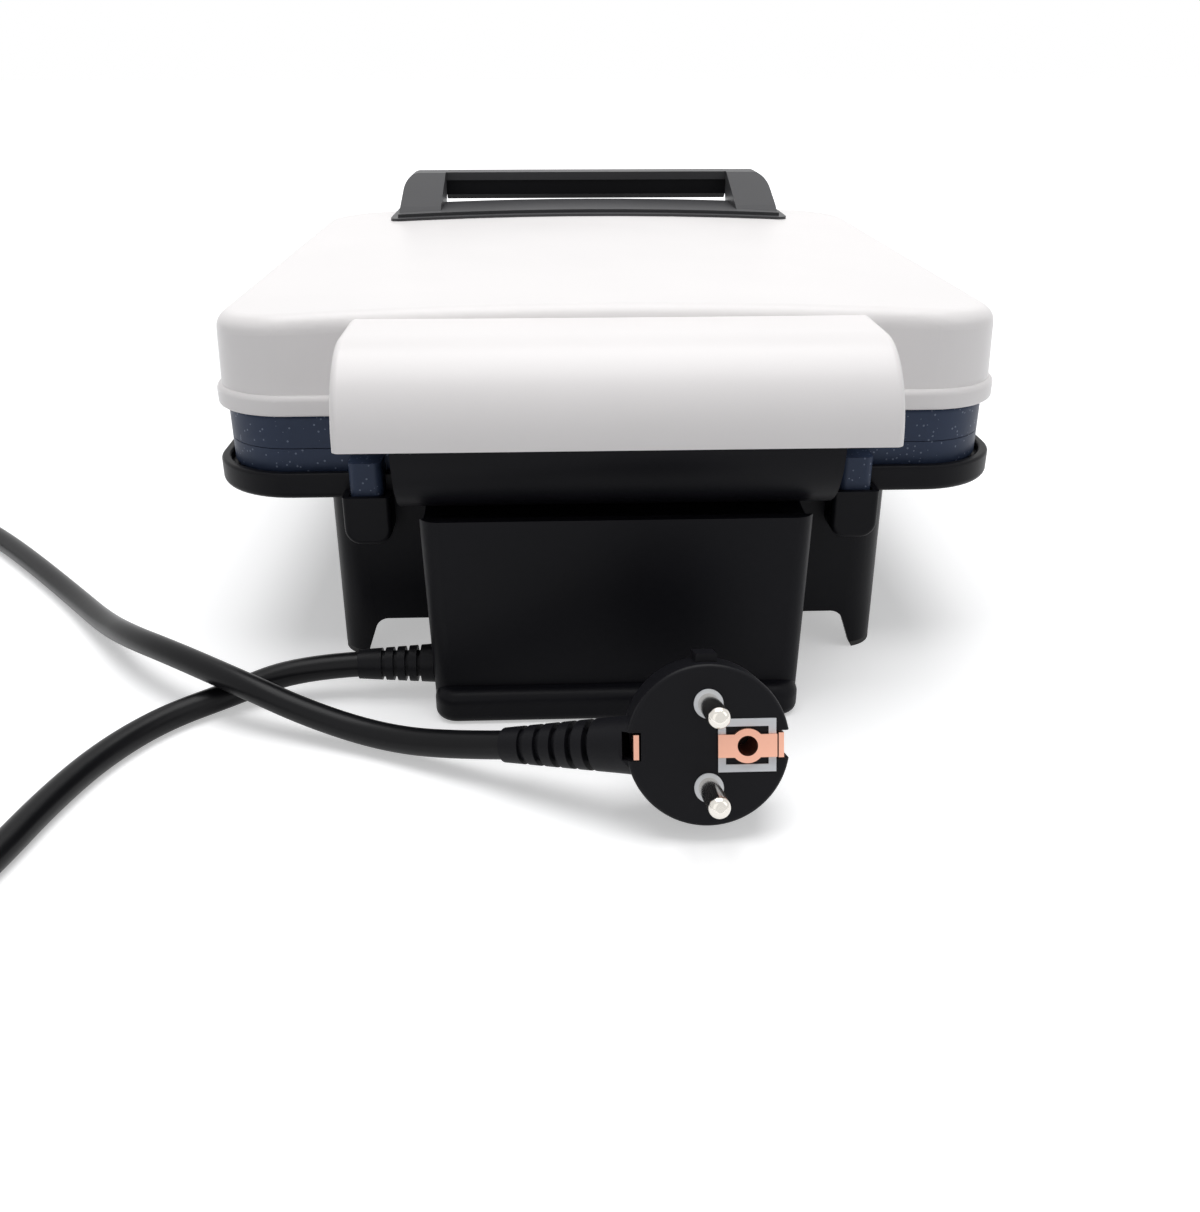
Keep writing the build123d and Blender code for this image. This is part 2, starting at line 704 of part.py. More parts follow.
def latch_ears(body):
    """Two ears on the lid's front that hold the latch's pin."""
    y, z = latch_axis()
    ears = None
    for side in (-1, 1):
        x = side * (latch_width / 2 + 0.6 + 1.5)
        ear = side_profile([(lid_front + 5, z - 6), (lid_front + 5, z + 5), (y, z + 3.6), (y, z - 3.6)], 3.0, x)
        ear += along_x(3.6, 3.0, y, z, x)
        ears = ear if ears is None else ears + ear
    return ears - body - along_x(latch_pin_radius, 3 * latch_width, y, z)


def release_button(x, front, middle, inner):
    """Plate release button: a pad on a stem, with a collar that keeps it in its hole."""
    low, high = button_range(middle)
    pad = box(x - button_width / 2, x + button_width / 2, front - button_proud, front + 6.0, low, high)
    pad = fillet(pad.faces().sort_by(Axis.Y)[0].edges(), 1.2)
    collar = box(x - button_width / 2 - 2, x + button_width / 2 + 2, inner, inner + 1.9, low - 1.5, high + 1.5)
    return pad + collar


def screw(x, y, z_head, length, up, radius=post_hole):
    """Countersunk screw; up is the way its head faces."""
    shank = upright(radius, *sorted((z_head, z_head - up * length)), x, y)
    head = upright(radius * 2, *sorted((z_head, z_head - up * head_high)), x, y)
    slot = box(x - radius * 1.5, x + radius * 1.5, y - 0.35, y + 0.35, *sorted((z_head + up, z_head - up * 0.8)))
    return shank + head - slot


def leg_corners(top):
    """The four solid corners that make the legs, up to the given height."""
    middle = (body_rear + body_front) / 2
    corners = block(body_width, body_depth, 0, top, body_corner, middle)
    across = box(leg_foot - body_width / 2, body_width / 2 - leg_foot, -400, 400, -1, top + 1)
    along = box(-400, 400, body_front + leg_foot, body_rear - leg_foot, -1, top + 1)
    return corners - across - along


def bottom_cover():
    """Cover under the body, with vent slots and screw holes."""
    middle = (body_rear + body_front) / 2
    cover = block(body_width - 2 * wall - 2 * run_clear, body_depth - 2 * wall - 2 * run_clear, cover_height,
                  cover_height + cover_thick, body_corner - wall - run_clear, middle)
    for column in (-1, 0, 1):
        for row in range(7):
            y = middle - 42 + row * 14.0
            cover -= box(column * 42 - 15, column * 42 + 15, y - 2, y + 2, cover_height - 1, cover_height + 9)
    for x, y in cover_posts():
        cover -= upright(1.6, cover_height - 1, cover_height + 9, x, y)
        cover -= upright(2 * post_hole + seat, cover_height - 1, cover_height + head_high, x, y)
    cover -= box(-12, 12, lid_rear - 12, lid_rear, cover_height - 1, cover_height + 9)
    return cover


def leg_pads():
    """Rubber pads under the four legs."""
    return Compound(children=list(leg_corners(foot_pad).solids()))


def lamp_lenses():
    """Two domed lamp lenses in the lid's front wall."""
    lenses = []
    for x in lamp_places():
        lens = along_y(lamp_radius, lid_front - 0.4, lid_front + bead_step + wall + 1.6, x, lamp_height())
        lens = fillet(lens.faces().sort_by(Axis.Y)[0].edges(), 1.2)
        lenses.append(lens)
    return Compound(children=lenses)


def lamp_holders():
    """Small neon lamps behind the lenses."""
    holders = []
    for x in lamp_places():
        y = lid_front + bead_step + wall + 1.6
        holders.append(along_y(2.6, y, y + 11, x, lamp_height()))
    return Compound(children=holders)


def thermostat(z, up):
    """Disc thermostat on its bracket, held against the pan's back."""
    y = lid_middle + 18.0
    body = upright(8.0, *sorted((z, z - up * 8.5)), 0, y)
    cap = upright(5.5, *sorted((z - up * 8.5, z - up * 12.0)), 0, y)
    tabs = box(-12.5, 12.5, y - 3, y + 3, *sorted((z - up * 2.0, z - up * 3.0)))
    return body + cap + tabs


def thermal_fuse(z, up):
    """Thermal fuse in its sleeve, clipped beside the thermostat."""
    y = lid_middle - 12.0
    sleeve = along_x(2.4, 26.0, y, z - up * 2.4)
    leads = along_x(0.7, 44.0, y, z - up * 2.4)
    return sleeve + leads


def terminal_block():
    """Three-way terminal block on the bottom cover, where the lead is joined."""
    y = lid_rear - 26.0
    low = cover_height + cover_thick
    body = box(-17, 17, y - 7, y + 7, low, low + 9)
    for x in (-11, 0, 11):
        body -= upright(1.8, low + 4, low + 10, x, y - 3)
        body -= along_y(1.6, y - 8, y + 8, x, low + 3)
    return body


def wiring(points, radius):
    """One insulated wire along rounded runs."""
    return tube_along(points, radius)[0]


def base_wiring():
    """Wires from the terminal block to the thermostat and up the tower."""
    y = lid_rear - 26.0
    z = cover_height + cover_thick + 4.5
    brown = wiring([(-11, y - 9, z), (-12, y - 24, z), (-24, y - 38, z + 3), (-30, y - 60, z + 2)], 1.1)
    blue = wiring([(11, y - 9, z), (12, y - 22, z), (26, y - 34, z + 3), (34, y - 58, z + 2)], 1.1)
    feed = wiring([(0, y + 9, z), (2, y + 21, z + 2), (2, lid_rear + 8, z + 10), (4, lid_rear + 12, z + 22)], 1.1)
    return Compound(children=[brown, blue, feed])


def lid_wiring():
    """Wires above the upper pan, from the hinge to the element and the lamps."""
    z = rim_bottom + frame_thick + pan_depth + 1.0
    rear = lid_rear - 16.0
    left = wiring([(20, rear, z), (24, rear - 30, z), (40, rear - 70, z + 0.6), (44, rear - 120, z)], 1.0)
    right = wiring([(-20, rear, z), (-26, rear - 34, z + 0.6), (-52, rear - 90, z), (-64, rear - 180, z)], 1.0)
    return Compound(children=[left, right])


def cord_bush():
    """Moulded bush where the lead leaves the tower, tapered and ribbed."""
    start = tower_low_width / 2 - 3.4
    bar = along_x(bush_radius - 1.0, 3.4 + seat, lid_rear + bush_back, bush_height, start + 1.7)
    profile = Plane(origin=(tower_low_width / 2 + 0.9, lid_rear + bush_back, bush_height), z_dir=(1, 0, 0))
    cone = loft([profile * Circle(bush_radius + 0.6), profile.offset(cord_route[0][0] - profile.origin.X)
                 * Circle(cord_diameter / 2 + 0.5)])
    for step in range(4):
        x = tower_low_width / 2 + 5.0 + step * 3.2
        ring = along_x(bush_radius + 2, 1.1, lid_rear + bush_back, bush_height, x)
        ring -= along_x(cord_diameter / 2 + 0.1, 1.3, lid_rear + bush_back, bush_height, x)
        cone -= ring
    return bar + along_x(bush_radius - 1.0, 2.4, lid_rear + bush_back, bush_height, tower_low_width / 2 + 0.5) + cone


def plug_plane():
    """Plane of the plug's face: it rests on its rounded back edge and looks backwards, tipped up."""
    x, y = plug_place
    lean_cos = math.cos(math.radians(plug_tip))
    lean_sin = math.sin(math.radians(plug_tip))
    height = (plug_radius - plug_round) * lean_cos + (plug_depth - plug_round) * lean_sin + plug_round
    return Plane(origin=(x, y, height), x_dir=(-1, 0, 0), z_dir=(0, lean_cos, lean_sin))


def plug_body():
    """Plug body: round face, a domed back and the neck that the relief grows from."""
    face = plug_plane()
    disc = face * Pos(0, 0, -plug_depth / 2) * Cylinder(plug_radius, plug_depth)
    rims = disc.edges().filter_by(GeomType.CIRCLE).sort_by(Axis.Y)
    disc = fillet(rims[0], plug_round)
    disc = fillet(disc.edges().filter_by(GeomType.CIRCLE).sort_by(Axis.Y)[-1], 1.0)
    disc += face * Pos(0, plug_radius - 0.5, -plug_depth / 2 + 0.5) * Box(4.8, 4.6, plug_depth - 8.0)
    neck_start, neck_dir = relief_line()
    neck = Plane(origin=neck_start + neck_dir * -10.0, z_dir=neck_dir)
    neck = loft([neck * Circle(7.6), neck.offset(10.0) * Circle(6.6)])
    disc += neck & (face * Pos(0, 0, -41.2) * Box(200, 200, 80))
    for side in (-1, 1):
        disc -= face * Pos(side * (plug_radius - 1.2), 0, -5) * Box(4.2, 6.4, 12)
        disc -= face * Pos(0, side * contact_spacing / 2, 0) * Cylinder(contact_radius, 20)
    disc -= face * Pos(earth_place(), 0, 0) * Cylinder(2.9, 24)
    return disc


def earth_place():
    """Sideways place of the earth hole on the face."""
    return 8.6


def relief_line():
    """Start and direction of the relief: from the plug's neck to the end of the lead."""
    end = Vector(*cord_route[-1])
    before = Vector(*cord_route[-2])
    direction = (before - end).normalized()
    return end - direction * relief_length, direction


def plug_relief():
    """Bend relief on the lead: a tapered sleeve with cut ribs."""
    start, direction = relief_line()
    base = Plane(origin=start, z_dir=direction)
    sleeve = loft([base * Circle(6.6), base.offset(relief_length) * Circle(cord_diameter / 2 + 0.7)])
    for step in range(5):
        at = 6.5 + step * 4.4
        cut = base.offset(at) * Circle(9.0)
        core = base.offset(at) * Circle(cord_diameter / 2 + 0.2)
        sleeve -= extrude(cut, 1.6) - extrude(core, 1.6)
    return sleeve


def plug_contacts():
    """Two round contact pins with rounded tips."""
    pins = []
    for side in (-1, 1):
        pin = plug_plane() * Pos(0, side * contact_spacing / 2, contact_length / 2 - 5) * Cylinder(
            contact_radius, contact_length + 10)
        pins.append(fillet(pin.faces().sort_by(Axis.Y)[-1].edges(), 1.6))
    return Compound(children=pins)


def plug_collars():
    """Pale collars at the roots of the contact pins, and the pale frame around the earth contact."""
    rings = []
    for side in (-1, 1):
        ring = plug_plane() * Pos(0, side * contact_spacing / 2, 0.3) * Cylinder(3.3, 0.6)
        ring -= plug_plane() * Pos(0, side * contact_spacing / 2, 0.3) * Cylinder(contact_radius, 2)
        rings.append(ring)
    frame = Pos(0, 0, 0.2) * (Box(13.0, 12.0, 0.4) - Box(9.6, 8.6, 1.0))
    rings.append(plug_plane() * Pos(earth_place(), 0, 0) * frame)
    return Compound(children=rings)


def plug_earth_clips():
    """Copper earth springs in the two side slots of the plug."""
    clips = []
    for side in (-1, 1):
        clip = plug_plane() * Pos(side * (plug_radius - 2.2), 0, -4.9) * Box(1.2, 5.6, 11.0)
        clips.append(clip)
    return Compound(children=clips)


def plug_earth_socket():
    """Earth contact: a sleeve in the face and the copper strip around its mouth."""
    sleeve = Pos(0, 0, -5.6) * (Cylinder(2.8, 12) - Cylinder(2.3, 14))
    strip = Pos(0, 0, 0.75) * Box(13.2, 5.2, 0.7) + Pos(0, 0, 0.55) * Cylinder(3.9, 1.1)
    strip -= Cylinder(2.3, 6)
    return plug_plane() * Pos(earth_place(), 0, 0) * (sleeve + strip)


def report_cord(length, radii, shape):
    """Prints the lead's length, its bends and how its volume compares with section by length."""
    section = math.pi * (cord_diameter / 2) ** 2
    print("lead length", round(length, 1), "volume ratio", round(shape.volume / (section * length), 4))
    print("bend radii", [round(r, 1) for r in radii])


def build():
    """Makes and writes every piece."""
    body = lid_solid()
    save("lid_shell", lid_shell(body))
    save("hinge_cover", hinge_cover(body))
    arms = [hinge_arm(-1) - body, hinge_arm(1) - body]
    save("hinge_arms", Compound(children=arms))
    handle = handle_frame(body)
    save("handle_frame", handle)
    save("handle_grip", handle_grip())
    save("latch_ears", latch_ears(body) - handle)
    save("latch", latch())
    y, z = latch_axis()
    save("latch_pin", along_x(latch_pin_radius, latch_width + 1.2 + 6.0, y, z))
    save("upper_plate", waffle_plate(parting + parting_gap, -1))
    save("lower_plate", lower_plate())
    upper_pan = rim_bottom + frame_thick
    lower_pan = flange_top - pan_drop
    save("lid_frame", lid_frame())
    save("upper_element", element(element_height(upper_pan, -1)))
    save("lower_element", element(element_height(lower_pan, 1)))
    save("upper_pan", pan(upper_pan, -1))
    save("lower_pan", pan(lower_pan, 1))
    lid_inner = lid_front + bead_step + wall + 1.0
    save("upper_release", release_button(button_place, lid_front, rim_bottom + button_up, lid_inner))
    base_inner = body_front + wall + 0.1
    save("lower_release", release_button(button_place - lower_button_side, body_front,
                                         flange_bottom - lower_button_down, base_inner))
    save("lamp_lenses", lamp_lenses())
    save("lamp_holders", lamp_holders())
    save("lid_wiring", lid_wiring())
    tower_piece, leg_pieces, body_piece, tray_piece = base_pieces()
    save("hinge_tower", tower_piece)
    save("base_legs", leg_pieces)
    save("base_shell", body_piece)
    save("plate_tray", tray_piece)
    save("bottom_cover", bottom_cover())
    save("leg_pads", leg_pads())
    pins = [along_x(pin_radius, pin_length, axis_y, axis_z, side * pin_place()) for side in (-1, 1)]
    save("hinge_pins", Compound(children=pins))
    screws = [screw(x, y0, cover_height, 14.0, -1) for x, y0 in cover_posts()]
    save("bottom_screws", Compound(children=screws))
    save("thermostat", thermostat(lower_pan - pan_depth, 1))
    save("thermal_fuse", thermal_fuse(lower_pan - pan_depth, 1))
    save("terminal_block", terminal_block())
    save("base_wiring", base_wiring())
    lead, length, radii = tube_along(cord_route, cord_diameter / 2)
    report_cord(length, radii, lead)
    save("cord_lead", lead)
    save("cord_bush", cord_bush() - lead)
    relief = plug_relief() - plug_earth_clips()
    save("plug_body", plug_body() - relief)
    save("plug_relief", relief)
    save("plug_contacts", plug_contacts())
    save("plug_collars", plug_collars())
    save("plug_earth_clips", plug_earth_clips())
    save("plug_earth_socket", plug_earth_socket())


build()
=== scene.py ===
import math

import bpy
from mathutils import Matrix, Vector


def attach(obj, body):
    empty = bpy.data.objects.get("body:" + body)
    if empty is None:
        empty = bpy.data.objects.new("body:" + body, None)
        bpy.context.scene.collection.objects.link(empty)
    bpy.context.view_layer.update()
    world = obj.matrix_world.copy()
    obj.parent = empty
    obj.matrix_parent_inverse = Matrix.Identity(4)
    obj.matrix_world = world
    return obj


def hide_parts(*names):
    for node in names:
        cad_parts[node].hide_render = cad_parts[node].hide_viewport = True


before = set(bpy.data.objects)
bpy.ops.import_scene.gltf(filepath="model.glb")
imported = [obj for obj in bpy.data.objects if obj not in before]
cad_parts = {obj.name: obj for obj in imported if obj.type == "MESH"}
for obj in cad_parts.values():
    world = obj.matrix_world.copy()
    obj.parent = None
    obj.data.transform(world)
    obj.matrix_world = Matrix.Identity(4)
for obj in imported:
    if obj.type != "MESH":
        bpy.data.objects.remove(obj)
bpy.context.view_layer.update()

# Camera
# Stands behind the appliance on its hinge side, a little above the lid, and looks down at it. The lens
# is as long as its film is wide, so the lid narrows strongly towards the handle.
turn = math.radians(-2.27)
dip = math.radians(25.106)
ahead = Vector((math.sin(turn) * math.cos(dip), -math.cos(turn) * math.cos(dip), -math.sin(dip)))
aside = Vector((-math.cos(turn), -math.sin(turn), 0.0))
above = aside.cross(ahead)
eye = bpy.data.objects.new("camera", bpy.data.cameras.new("camera"))
eye.data.sensor_fit = "HORIZONTAL"
eye.data.sensor_width = 36.0
eye.data.lens = 36.0
eye.data.clip_start = 0.01
eye.data.clip_end = 20.0
stands_at = Matrix.Translation((0.01576, 0.41723, 0.16332))
eye.matrix_world = stands_at @ Matrix((aside, above, -ahead)).transposed().to_4x4()
bpy.context.scene.collection.objects.link(eye)
bpy.context.scene.camera = eye
bpy.context.scene.view_settings.view_transform = "Standard"

# Mains lead
# Three-core lead sheathed in black PVC, 7 mm thick and 0.88 m long. It comes out of the bush, lies in one
# loose loop on the table, crosses itself in a low hump and ends in the plug. Each point's radius sets the
# thickness, with the bevel left at 1, so that the curve's own box is no larger than the lead.
lead_thick = 0.007
lead_points = [
    (0.070, 0.124, 0.0095), (0.087, 0.124, 0.0086), (0.104, 0.129, 0.0039), (0.119, 0.141, 0.0035),
    (0.129, 0.158, 0.0035), (0.135, 0.178, 0.0035), (0.139, 0.201, 0.0035), (0.145, 0.224, 0.0035),
    (0.157, 0.245, 0.0035), (0.176, 0.261, 0.0035), (0.200, 0.269, 0.0035), (0.226, 0.267, 0.0035),
    (0.250, 0.257, 0.0035), (0.270, 0.240, 0.0035), (0.284, 0.217, 0.0035), (0.292, 0.190, 0.0035),
    (0.296, 0.161, 0.0035), (0.2985, 0.131, 0.0035), (0.299, 0.100, 0.0035), (0.298, 0.070, 0.0035),
    (0.2985, 0.042, 0.0035), (0.296, 0.015, 0.0035), (0.282, -0.007, 0.0035), (0.258, -0.016, 0.0035),
    (0.233, -0.008, 0.0035), (0.211, 0.014, 0.0035), (0.190, 0.038, 0.0035), (0.1685, 0.064, 0.0036),
    (0.151, 0.088, 0.006), (0.1365, 0.107, 0.0105), (0.121, 0.122, 0.013), (0.099, 0.138, 0.012),
    (0.080, 0.1465, 0.007), (0.061, 0.1545, 0.0046), (0.044, 0.163, 0.007), (0.0285, 0.170, 0.011),
]
lead_line = bpy.data.curves.new("lead", "CURVE")
lead_line.dimensions = "3D"
lead_line.bevel_depth = 1.0
lead_line.bevel_resolution = 8
lead_line.use_fill_caps = True
run = lead_line.splines.new("NURBS")
run.points.add(len(lead_points) - 1)
for point, place in zip(run.points, lead_points):
    point.co = (*place, 1.0)
    point.radius = lead_thick / 2
run.order_u = 3
run.use_endpoint_u = True
run.resolution_u = 10
lead = bpy.data.objects.new("lead", lead_line)
bpy.context.scene.collection.objects.link(lead)
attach(lead, "base")
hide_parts("cord_lead")


def moulded(name, colour, gloss, grain, depth, spread, metal=0.0, coat=0.0, shine=0.5):
    """A surface with fine moulded grain, slow drift of its colour and uneven gloss.

    gloss is its roughness, grain the fineness and depth the height in mm of its texture, and spread the
    share by which the colour drifts. metal, coat and shine are how metallic, lacquered and reflective it is.
    """
    drift_scale, drift_from, drift_to = 18.0, 0.35, 0.65
    gloss_less, gloss_more = 0.05, 0.07
    mm = 0.001
    mat = bpy.data.materials.new(name)
    mat.use_nodes = True
    nodes, links = mat.node_tree.nodes, mat.node_tree.links
    skin = nodes["Principled BSDF"]
    skin.inputs["Metallic"].default_value = metal
    skin.inputs["Coat Weight"].default_value = coat
    skin.inputs["Specular IOR Level"].default_value = shine
    skin.inputs["Coat Roughness"].default_value = 0.12
    where = nodes.new("ShaderNodeTexCoord")
    drift = nodes.new("ShaderNodeTexNoise")
    drift.inputs["Scale"].default_value = drift_scale
    drift.inputs["Detail"].default_value = 4.0
    links.new(where.outputs["Object"], drift.inputs["Vector"])
    tint = nodes.new("ShaderNodeValToRGB")
    darker, lighter = tint.color_ramp.elements
    darker.color = (*[c * (1 - spread) for c in colour], 1)
    lighter.color = (*[min(1.0, c * (1 + spread)) for c in colour], 1)
    darker.position = drift_from
    lighter.position = drift_to
    links.new(drift.outputs["Fac"], tint.inputs["Fac"])
    links.new(tint.outputs["Color"], skin.inputs["Base Color"])
    fine = nodes.new("ShaderNodeTexNoise")
    fine.inputs["Scale"].default_value = grain
    fine.inputs["Detail"].default_value = 2.0
    links.new(where.outputs["Object"], fine.inputs["Vector"])
    uneven = nodes.new("ShaderNodeMapRange")
    uneven.inputs["To Min"].default_value = gloss - gloss_less
    uneven.inputs["To Max"].default_value = gloss + gloss_more
    links.new(drift.outputs["Fac"], uneven.inputs["Value"])
    links.new(uneven.outputs["Result"], skin.inputs["Roughness"])
    rise = nodes.new("ShaderNodeBump")
    rise.inputs["Strength"].default_value = 0.5
    rise.inputs["Distance"].default_value = depth * mm
    links.new(fine.outputs["Fac"], rise.inputs["Height"])
    links.new(rise.outputs["Normal"], skin.inputs["Normal"])
    return mat


def dress(mat, *names):
    """Puts a finish on CAD nodes."""
    for name in names:
        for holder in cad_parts[name].material_slots:
            holder.material = mat


lead.data.materials.append(moulded("lead_pvc", (0.006, 0.006, 0.007),
                                   gloss=0.3, grain=260, depth=0.05, spread=0.2, shine=0.16))

# Cord bush
# Ribbed black sleeve of soft PVC moulded around the lead. It sits in the tower's side wall and keeps the
# lead from being pulled or bent sharply where it comes out.
dress(moulded("bush_pvc", (0.006, 0.006, 0.0075),
              gloss=0.4, grain=500, depth=0.06, spread=0.2, shine=0.12),
      "cord_bush")

# Plug
# Round mains plug moulded in one with its bend relief in black PVC. Two nickel-plated pins stand in
# pale collars; the earth contacts are bent copper strip, two at the sides and one around the hole.
dress(moulded("plug_pvc", (0.006, 0.006, 0.0078),
              gloss=0.4, grain=700, depth=0.05, spread=0.22, shine=0.12),
      "plug_body", "plug_relief")
dress(moulded("nickel_plate", (0.72, 0.69, 0.64),
              gloss=0.16, grain=1400, depth=0.008, spread=0.08, metal=1.0),
      "plug_contacts")
dress(moulded("collar_nylon", (0.7, 0.72, 0.75),
              gloss=0.4, grain=800, depth=0.02, spread=0.08),
      "plug_collars")
dress(moulded("copper_strip", (0.78, 0.42, 0.31),
              gloss=0.3, grain=1200, depth=0.02, spread=0.18, metal=1.0),
      "plug_earth_clips", "plug_earth_socket")

# Lid and hinge cover
# White thermoplastic mouldings, half glossy, with a fine even texture. The cover is screwed to the lid
# from inside and hides the hinge.
dress(moulded("white_moulding", (0.86, 0.835, 0.83),
              gloss=0.32, grain=1500, depth=0.012, spread=0.012, shine=0.3),
      "lid_shell", "hinge_cover")

# Handle
# Dark grey satin moulding, screwed to the lid from inside, with a window between its two arms. A black
# grip is clipped under its bar.
dress(moulded("handle_moulding", (0.045, 0.045, 0.048),
              gloss=0.4, grain=1300, depth=0.03, spread=0.1, shine=0.22),
      "handle_frame")
dress(moulded("grip_moulding", (0.005, 0.005, 0.006),
              gloss=0.5, grain=1300, depth=0.04, spread=0.2, shine=0.1),
      "handle_grip")

# Latch
# Grey moulded lever with a finger tab and a hook that reaches under the tray. It swings on a steel pin
# between two black ears on the lid's front; the hinge arms at the rear are the same black moulding.
dress(moulded("latch_moulding", (0.085, 0.085, 0.09),
              gloss=0.4, grain=1300, depth=0.03, spread=0.1),
      "latch")
dress(moulded("ear_moulding", (0.008, 0.008, 0.009),
              gloss=0.42, grain=1100, depth=0.04, spread=0.2, shine=0.12),
      "latch_ears", "hinge_arms")

# Release buttons and lamps
# Grey moulded push buttons, each on a spring, let the plates out. Two tinted lenses beside the latch show
# heat and readiness, with a small neon lamp behind each.
dress(moulded("button_moulding", (0.1, 0.1, 0.105),
              gloss=0.38, grain=1300, depth=0.03, spread=0.1),
      "upper_release", "lower_release")
dress(moulded("lens_tint", (0.55, 0.08, 0.03),
              gloss=0.12, grain=900, depth=0.01, spread=0.15, coat=0.6),
      "lamp_lenses")
dress(moulded("lamp_glass", (0.6, 0.42, 0.34),
              gloss=0.15, grain=900, depth=0.01, spread=0.1),
      "lamp_holders")


# Waffle plates
# Cast aluminium with a sprayed slate-blue non-stick coating, full of light flecks, slightly uneven to
# the touch. They lift out of the lid and the base.
def speckled(name, colour, fleck):
    """Sprayed coating: even ground colour, scattered light flecks and a pebbled surface."""
    cell_scale, fleck_size, fleck_rarity = 1050.0, 0.3, 0.8
    mat = moulded(name, colour, gloss=0.44, grain=420, depth=0.08, spread=0.1, shine=0.2)
    nodes, links = mat.node_tree.nodes, mat.node_tree.links
    skin = nodes["Principled BSDF"]
    where = nodes["Texture Coordinate"]
    ground = skin.inputs["Base Color"].links[0].from_socket
    cells = nodes.new("ShaderNodeTexVoronoi")
    cells.inputs["Scale"].default_value = cell_scale
    links.new(where.outputs["Object"], cells.inputs["Vector"])
    small = nodes.new("ShaderNodeMath")
    small.operation = "LESS_THAN"
    small.inputs[1].default_value = fleck_size
    links.new(cells.outputs["Distance"], small.inputs[0])
    few = nodes.new("ShaderNodeSeparateColor")
    links.new(cells.outputs["Color"], few.inputs["Color"])
    chosen = nodes.new("ShaderNodeMath")
    chosen.operation = "GREATER_THAN"
    chosen.inputs[1].default_value = fleck_rarity
    links.new(few.outputs["Red"], chosen.inputs[0])
    both = nodes.new("ShaderNodeMath")
    both.operation = "MULTIPLY"
    links.new(small.outputs[0], both.inputs[0])
    links.new(chosen.outputs[0], both.inputs[1])
    blend = nodes.new("ShaderNodeMix")
    blend.data_type = "RGBA"
    links.new(both.outputs[0], blend.inputs["Factor"])
    links.new(ground, blend.inputs["A"])
    blend.inputs["B"].default_value = (*fleck, 1)
    links.new(blend.outputs["Result"], skin.inputs["Base Color"])
    return mat


dress(speckled("plate_coating", (0.028, 0.042, 0.08), (0.15, 0.18, 0.25)), "upper_plate", "lower_plate")

# Heating elements, pans and frame
# Steel tube elements, browned by heat, clipped into thin bright pans of pressed sheet. A ring of the same
# sheet carries the upper pan in the lid.
dress(moulded("element_tube", (0.28, 0.24, 0.2),
              gloss=0.36, grain=300, depth=0.02, spread=0.3, metal=1.0),
      "upper_element", "lower_element")
dress(moulded("sheet_steel", (0.6, 0.6, 0.59),
              gloss=0.32, grain=240, depth=0.01, spread=0.08, metal=1.0),
      "upper_pan", "lower_pan", "lid_frame")

# Base and hinge tower
# One black satin moulding: tray with a lip around the plate, body on four legs, two sockets for the
# plate's lugs, and the tower with its barrel. The bottom is closed by a vented cover.
dress(moulded("base_moulding", (0.0045, 0.0045, 0.0062),
              gloss=0.4, grain=1200, depth=0.035, spread=0.2, shine=0.1),
      "base_shell", "plate_tray", "hinge_tower", "base_legs")
dress(moulded("cover_moulding", (0.006, 0.006, 0.008),
              gloss=0.5, grain=1000, depth=0.05, spread=0.2, shine=0.12),
      "bottom_cover")
dress(moulded("pad_rubber", (0.02, 0.02, 0.02),
              gloss=0.75, grain=700, depth=0.08, spread=0.2),
      "leg_pads")

# Pins and screws
# Bright turned steel pins on which the lid and the latch turn, and countersunk screws that hold the bottom
# cover. The thermostat has the same bright finish.
dress(moulded("turned_steel", (0.62, 0.62, 0.62),
              gloss=0.26, grain=1600, depth=0.01, spread=0.08, metal=1.0),
      "hinge_pins", "latch_pin", "bottom_screws", "thermostat")

# Wiring
# Wires in woven glass-fibre sleeve between the elements and a white nylon terminal block, and a thermal
# fuse in a pale sleeve. All of it is inside and unseen.
dress(moulded("wire_sleeve", (0.42, 0.4, 0.36),
              gloss=0.7, grain=1500, depth=0.12, spread=0.2),
      "base_wiring", "lid_wiring")
dress(moulded("block_nylon", (0.72, 0.72, 0.68),
              gloss=0.5, grain=900, depth=0.03, spread=0.06),
      "terminal_block", "thermal_fuse")


# Floor and light
# A white table that runs out into a white background, one wide soft light above, two weak ones on the
# camera's side, and an even room. Straight, in a reflection or through glass, table and room show
# white, while the room's light on the object stays low. Close around the object the table's white glow
# is weaker, which paints shade on the table there.
def flat_mesh(name, corners, faces):
    """A mesh object from its corners and faces."""
    made = bpy.data.meshes.new(name)
    made.from_pydata(corners, [], faces)
    made.update()
    thing = bpy.data.objects.new(name, made)
    bpy.context.scene.collection.objects.link(thing)
    return thing


def background_rays(nodes, links):
    """A socket that is 1 for rays that show the background straight, reflected or through glass."""
    rays = nodes.new("ShaderNodeLightPath")
    shown = rays.outputs["Is Camera Ray"]
    for kind in ("Is Glossy Ray", "Is Transmission Ray"):
        either = nodes.new("ShaderNodeMath")
        either.operation = "MAXIMUM"
        links.new(shown, either.inputs[0])
        links.new(rays.outputs[kind], either.inputs[1])
        shown = either.outputs[0]
    return shown


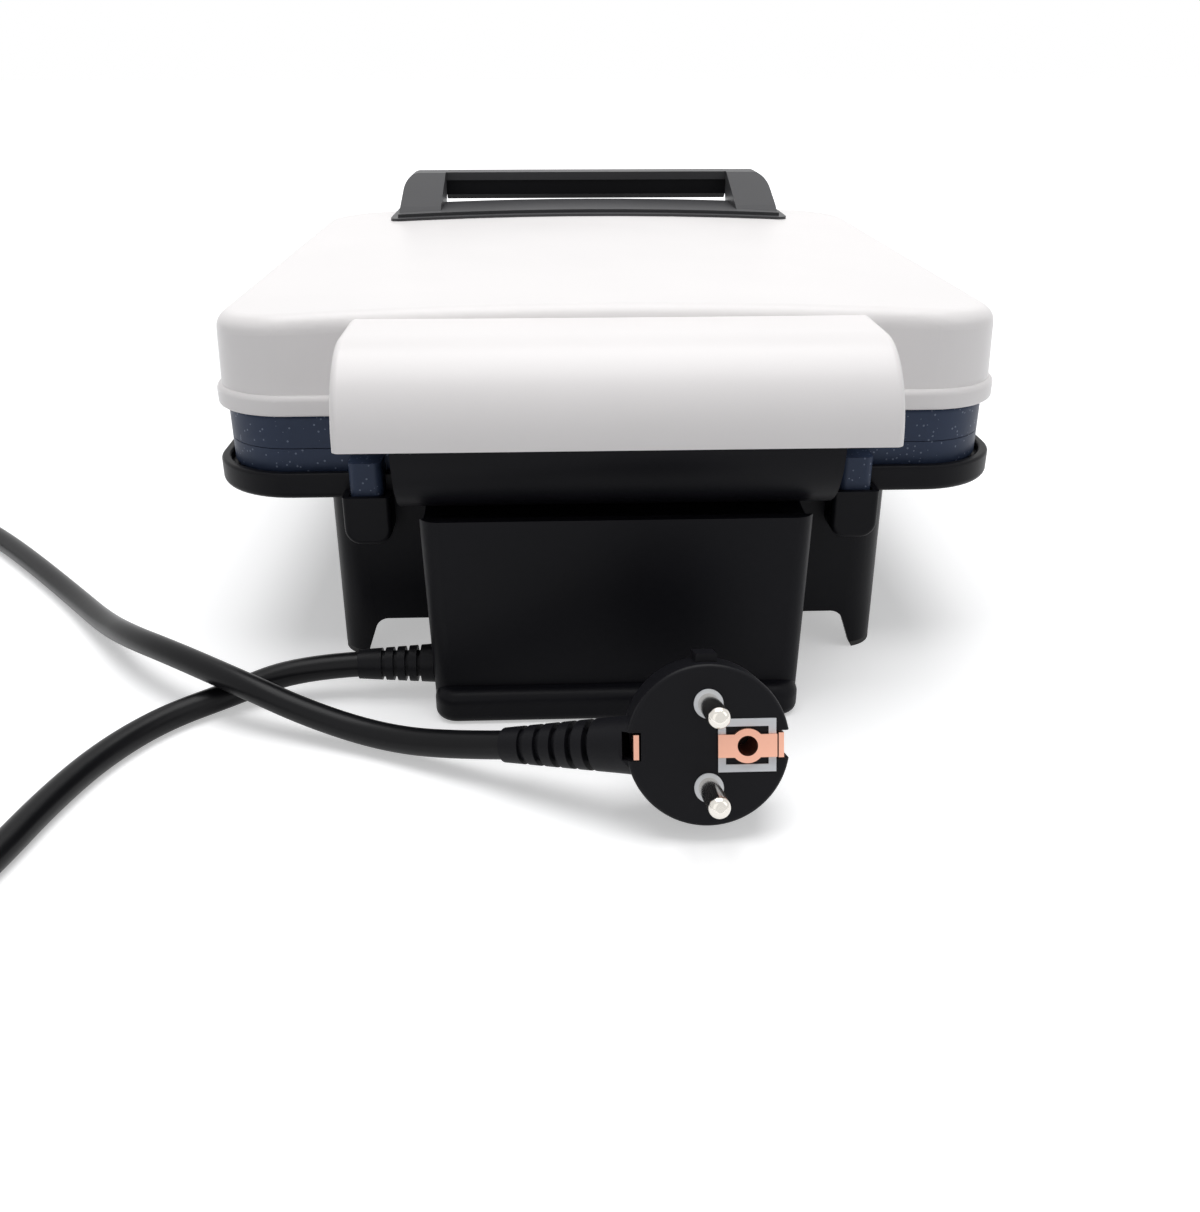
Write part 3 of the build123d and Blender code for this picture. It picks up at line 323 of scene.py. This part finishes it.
far = 6.0
table_top = flat_mesh("table_top", [(-far, -far, 0), (far, -far, 0), (far, far, 0), (-far, far, 0)],
                      [(0, 1, 2, 3)])
paper = bpy.data.materials.new("white_paper")
paper.use_nodes = True
paper_nodes, paper_links = paper.node_tree.nodes, paper.node_tree.links
paper_skin = paper_nodes["Principled BSDF"]
paper_skin.inputs["Base Color"].default_value = (0.86, 0.86, 0.865, 1)
paper_skin.inputs["Roughness"].default_value = 0.8
paper_skin.inputs["Specular IOR Level"].default_value = 0.1
glow = paper_nodes.new("ShaderNodeEmission")
glow.inputs["Color"].default_value = (1, 1, 1, 1)
lift = paper_nodes.new("ShaderNodeMath")
lift.operation = "MULTIPLY"
paper_links.new(background_rays(paper_nodes, paper_links), lift.inputs[0])
away = paper_nodes.new("ShaderNodeNewGeometry")
reach = paper_nodes.new("ShaderNodeVectorMath")
reach.operation = "LENGTH"
paper_links.new(away.outputs["Position"], reach.inputs[0])
# Painted shade: the table's white glow drops from full strength beyond 0.8 m of the origin to 0.42 within
# 0.3 m, darkening the table around the object.
painted_shade_near_object = paper_nodes.new("ShaderNodeMapRange")
near_object, clear_of_it = 0.3, 0.8
glow_in_painted_shade, glow_clear = 0.42, 1.0
painted_shade_near_object.inputs["From Min"].default_value = near_object
painted_shade_near_object.inputs["From Max"].default_value = clear_of_it
painted_shade_near_object.inputs["To Min"].default_value = glow_in_painted_shade
painted_shade_near_object.inputs["To Max"].default_value = glow_clear
paper_links.new(reach.outputs["Value"], painted_shade_near_object.inputs["Value"])
paper_links.new(painted_shade_near_object.outputs["Result"], lift.inputs[1])
paper_links.new(lift.outputs[0], glow.inputs["Strength"])
laid = paper_nodes.new("ShaderNodeAddShader")
paper_links.new(paper_skin.outputs["BSDF"], laid.inputs[0])
paper_links.new(glow.outputs["Emission"], laid.inputs[1])
paper_links.new(laid.outputs["Shader"], paper_nodes["Material Output"].inputs["Surface"])
table_top.data.materials.append(paper)

room = bpy.data.worlds.new("room")
bpy.context.scene.world = room
room.use_nodes = True
room_nodes, room_links = room.node_tree.nodes, room.node_tree.links
even = room_nodes["Background"]
even.inputs["Color"].default_value = (0.95, 0.97, 1.0, 1)
even.inputs["Strength"].default_value = 0.24
white = room_nodes.new("ShaderNodeBackground")
white.inputs["Color"].default_value = (1, 1, 1, 1)
white.inputs["Strength"].default_value = 1.0
swap = room_nodes.new("ShaderNodeMixShader")
room_links.new(background_rays(room_nodes, room_links), swap.inputs["Fac"])
room_links.new(even.outputs["Background"], swap.inputs[1])
room_links.new(white.outputs["Background"], swap.inputs[2])
room_links.new(swap.outputs["Shader"], room_nodes["World Output"].inputs["Surface"])

lit_point = Vector((0, 0.05, 0.06))
for name, place, size, power in (
        ("light_above", (0.0, -0.05, 1.15), 1.0, 12.3),
        ("light_side", (-0.9, 0.7, 0.75), 0.7, 1.0),
        ("light_front", (0.5, 1.1, 0.5), 0.8, 0.7)):
    lamp = bpy.data.lights.new(name, "AREA")
    lamp.size = size
    lamp.energy = power
    holder = bpy.data.objects.new(name, lamp)
    holder.location = place
    holder.rotation_euler = (lit_point - Vector(place)).to_track_quat("-Z", "Y").to_euler()
    bpy.context.scene.collection.objects.link(holder)
